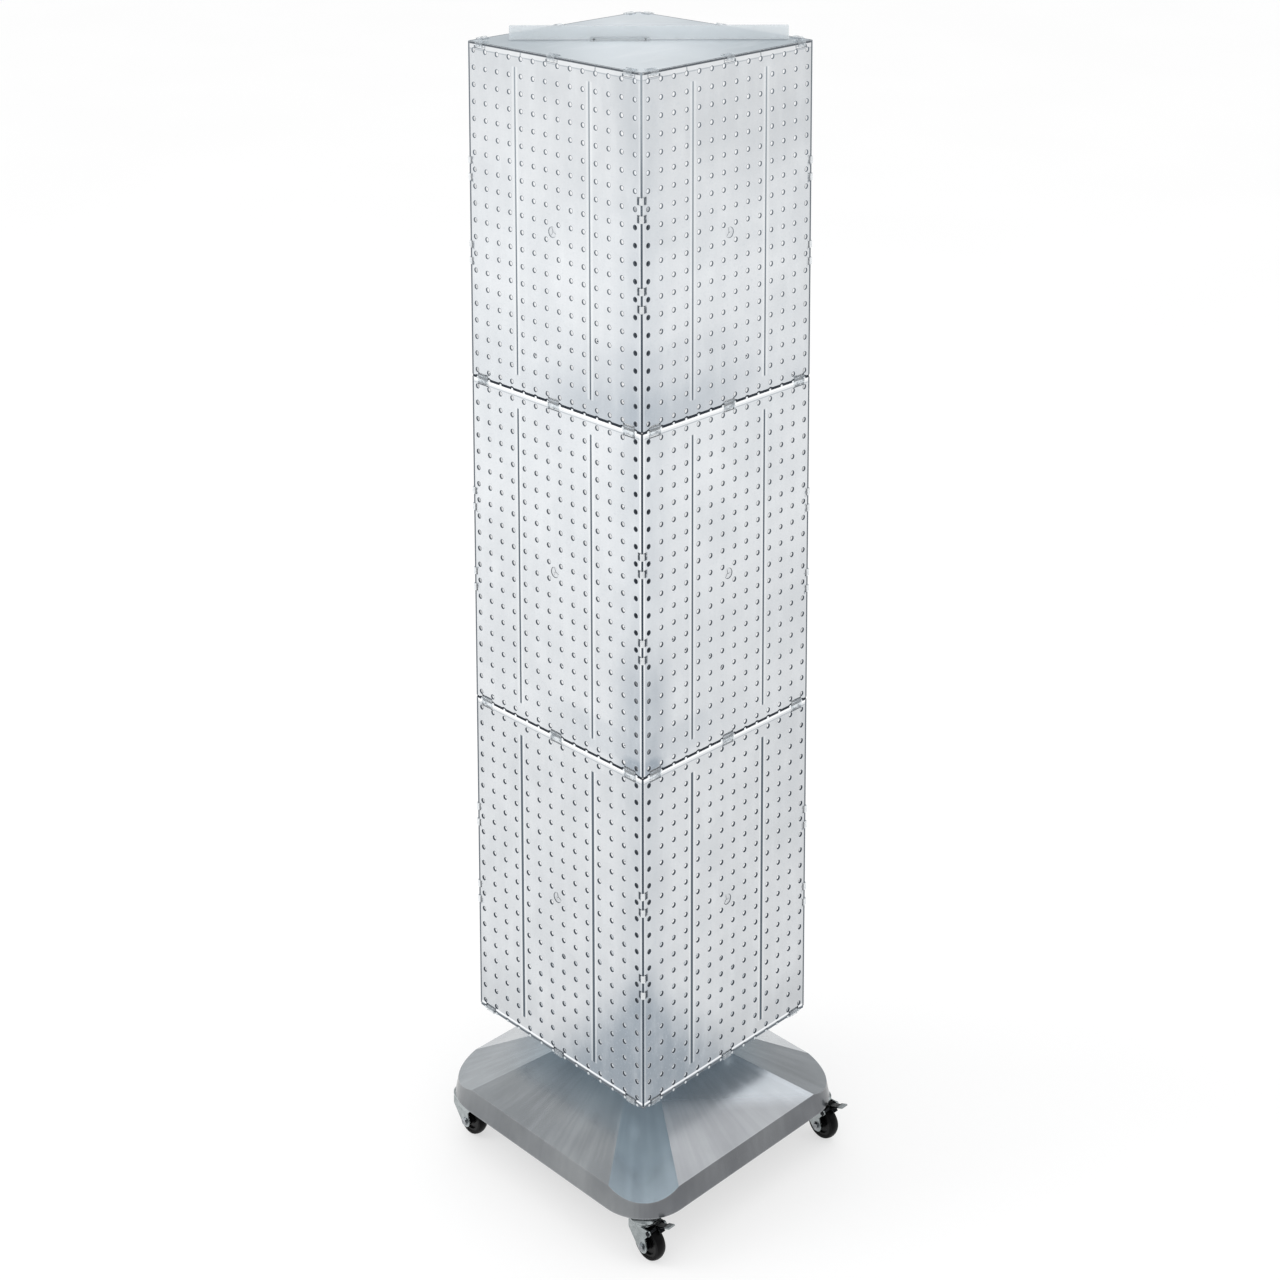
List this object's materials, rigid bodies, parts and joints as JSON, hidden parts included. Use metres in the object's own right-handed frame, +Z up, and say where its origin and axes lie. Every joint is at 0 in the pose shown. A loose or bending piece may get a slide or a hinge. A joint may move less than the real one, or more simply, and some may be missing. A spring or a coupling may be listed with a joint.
{
  "type": "rotating pegboard display tower",
  "caption": "Tall four-sided clear pegboard tower with a sign channel on its lid, turning on a wide silver-grey faceted base with braked swivel casters.",
  "frame": {"origin": "on the floor, under the tower's vertical axis", "axes": "+Z up along the tower; -Y is the front face, +X the right face"},
  "size_m": [0.4714, 0.4572, 1.7569],
  "materials": {
    "clear_panel": "translucent clear styrene, pebbled",
    "clear_panel_lower": "translucent clear styrene, pebbled",
    "clear_clip": "clear, glossy",
    "clear_sign": "clear, glossy",
    "silver_base": "silver-grey, glossy",
    "zinc": "bright zinc plate",
    "steel": "bright",
    "bearing_steel": "polished",
    "nylon": "natural nylon",
    "black_plastic": "satin black",
    "black_tread": "matt black"
  },
  "bodies": {
    "base": {"base_shell": "silver_base", "stem_sockets": "steel", "turntable_base": "silver_base", "turntable_base_screws": "steel", "pivot_bolt": "steel", "pivot_washer": "steel", "pivot_nut": "steel", "caster_fl_stem": "zinc", "caster_fr_stem": "zinc", "caster_rl_stem": "zinc", "caster_rr_stem": "zinc"},
    "tower": {"lower_front_panel": "clear_panel_lower", "lower_right_panel": "clear_panel_lower", "lower_rear_panel": "clear_panel_lower", "lower_left_panel": "clear_panel_lower", "middle_front_panel": "clear_panel", "middle_right_panel": "clear_panel", "middle_rear_panel": "clear_panel", "middle_left_panel": "clear_panel", "upper_front_panel": "clear_panel", "upper_right_panel": "clear_panel", "upper_rear_panel": "clear_panel", "upper_left_panel": "clear_panel", "tower_lid": "clear_panel", "tower_floor": "clear_panel_lower", "corner_clips": "clear_clip", "tier_clips": "clear_clip", "lid_clips": "clear_clip", "floor_clips": "clear_clip", "sign_channel": "clear_sign", "sign_foot": "clear_sign", "sign_screws": "steel", "turntable_top": "silver_base", "turntable_screws": "steel"},
    "ball_cage": {"ball_cage": "nylon", "turntable_balls": "bearing_steel"},
    "caster_fl": {"caster_fl_fork": "zinc", "caster_fl_axle": "steel", "caster_fl_brake_pin": "steel"},
    "wheel_fl": {"caster_fl_wheel": "black_plastic", "caster_fl_tyre": "black_tread"},
    "brake_fl": {"caster_fl_brake": "zinc"},
    "caster_fr": {"caster_fr_fork": "zinc", "caster_fr_axle": "steel", "caster_fr_brake_pin": "steel"},
    "wheel_fr": {"caster_fr_wheel": "black_plastic", "caster_fr_tyre": "black_tread"},
    "brake_fr": {"caster_fr_brake": "zinc"},
    "caster_rl": {"caster_rl_fork": "zinc", "caster_rl_axle": "steel", "caster_rl_brake_pin": "steel"},
    "wheel_rl": {"caster_rl_wheel": "black_plastic", "caster_rl_tyre": "black_tread"},
    "brake_rl": {"caster_rl_brake": "zinc"},
    "caster_rr": {"caster_rr_fork": "zinc", "caster_rr_axle": "steel", "caster_rr_brake_pin": "steel"},
    "wheel_rr": {"caster_rr_wheel": "black_plastic", "caster_rr_tyre": "black_tread"},
    "brake_rr": {"caster_rr_brake": "zinc"}
  },
  "joints": [
    {"name": "tower_turn", "type": "hinge", "parent": "base", "child": "tower", "pos_m": [0, 0, 0.2], "axis": [0, 0, 1], "continuous": true},
    {"name": "ball_cage_turn", "type": "hinge", "parent": "base", "child": "ball_cage", "pos_m": [0, 0, 0.1845], "axis": [0, 0, 1], "continuous": true},
    {"name": "caster_fl_swivel", "type": "hinge", "parent": "base", "child": "caster_fl", "pos_m": [-0.193, -0.193, 0.058], "axis": [0, 0, 1], "continuous": true},
    {"name": "wheel_fl_spin", "type": "hinge", "parent": "caster_fl", "child": "wheel_fl", "pos_m": [-0.18, -0.193, 0.0254], "axis": [0, 1, 0], "continuous": true},
    {"name": "brake_fl_press", "type": "hinge", "parent": "caster_fl", "child": "brake_fl", "pos_m": [-0.168, -0.193, 0.0524], "axis": [0, 1, 0], "range_deg": [0, 14]},
    {"name": "caster_fr_swivel", "type": "hinge", "parent": "base", "child": "caster_fr", "pos_m": [0.193, -0.193, 0.058], "axis": [0, 0, 1], "continuous": true},
    {"name": "wheel_fr_spin", "type": "hinge", "parent": "caster_fr", "child": "wheel_fr", "pos_m": [0.206, -0.193, 0.0254], "axis": [0, 1, 0], "continuous": true},
    {"name": "brake_fr_press", "type": "hinge", "parent": "caster_fr", "child": "brake_fr", "pos_m": [0.218, -0.193, 0.0524], "axis": [0, 1, 0], "range_deg": [0, 14]},
    {"name": "caster_rl_swivel", "type": "hinge", "parent": "base", "child": "caster_rl", "pos_m": [-0.193, 0.193, 0.058], "axis": [0, 0, 1], "continuous": true},
    {"name": "wheel_rl_spin", "type": "hinge", "parent": "caster_rl", "child": "wheel_rl", "pos_m": [-0.18, 0.193, 0.0254], "axis": [0, 1, 0], "continuous": true},
    {"name": "brake_rl_press", "type": "hinge", "parent": "caster_rl", "child": "brake_rl", "pos_m": [-0.168, 0.193, 0.0524], "axis": [0, 1, 0], "range_deg": [0, 14]},
    {"name": "caster_rr_swivel", "type": "hinge", "parent": "base", "child": "caster_rr", "pos_m": [0.193, 0.193, 0.058], "axis": [0, 0, 1], "continuous": true},
    {"name": "wheel_rr_spin", "type": "hinge", "parent": "caster_rr", "child": "wheel_rr", "pos_m": [0.206, 0.193, 0.0254], "axis": [0, 1, 0], "continuous": true},
    {"name": "brake_rr_press", "type": "hinge", "parent": "caster_rr", "child": "brake_rr", "pos_m": [0.218, 0.193, 0.0524], "axis": [0, 1, 0], "range_deg": [0, 14]}
  ],
  "couplings": [
    {"joint": "ball_cage_turn", "follows": "tower_turn", "ratio": 0.5}
  ]
}
